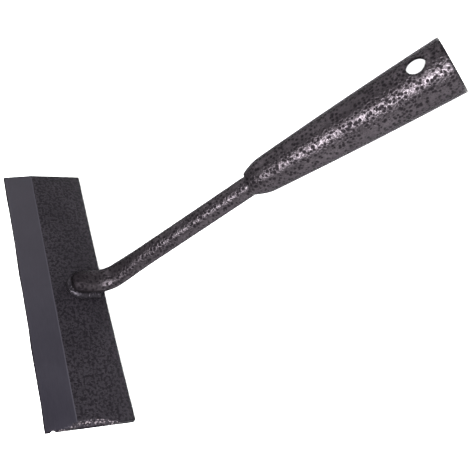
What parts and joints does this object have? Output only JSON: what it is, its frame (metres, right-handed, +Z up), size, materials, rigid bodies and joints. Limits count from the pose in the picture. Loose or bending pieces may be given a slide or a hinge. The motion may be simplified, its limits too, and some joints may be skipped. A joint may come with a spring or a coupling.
{
  "type": "draw hoe head",
  "caption": "Draw hoe head: long flat blade with a ground cutting strip, round bent neck welded to its face, and a tapered tube socket for a wooden handle.",
  "frame": {"origin": "middle of the underside of the head's bounding box, as it lies on its back on the blade's rear edge and the rim of the socket's mouth", "axes": "+X along the blade, +Y level along the socket's axis towards its mouth, where the handle goes in, +Z up out of the side with the blade's front face"},
  "size_m": [0.1778, 0.2716, 0.0391],
  "materials": {
    "blade_paint": "dark hammertone paint, satin, with a smooth ground strip along the cutting edge",
    "weld_paint": "dark hammertone paint over a rippled weld bead",
    "socket_paint": "glossy purplish grey hammertone paint with small black pits"
  },
  "bodies": {
    "root": {"blade": "blade_paint", "foot_weld": "weld_paint", "neck": "socket_paint", "socket": "socket_paint"}
  },
  "joints": []
}
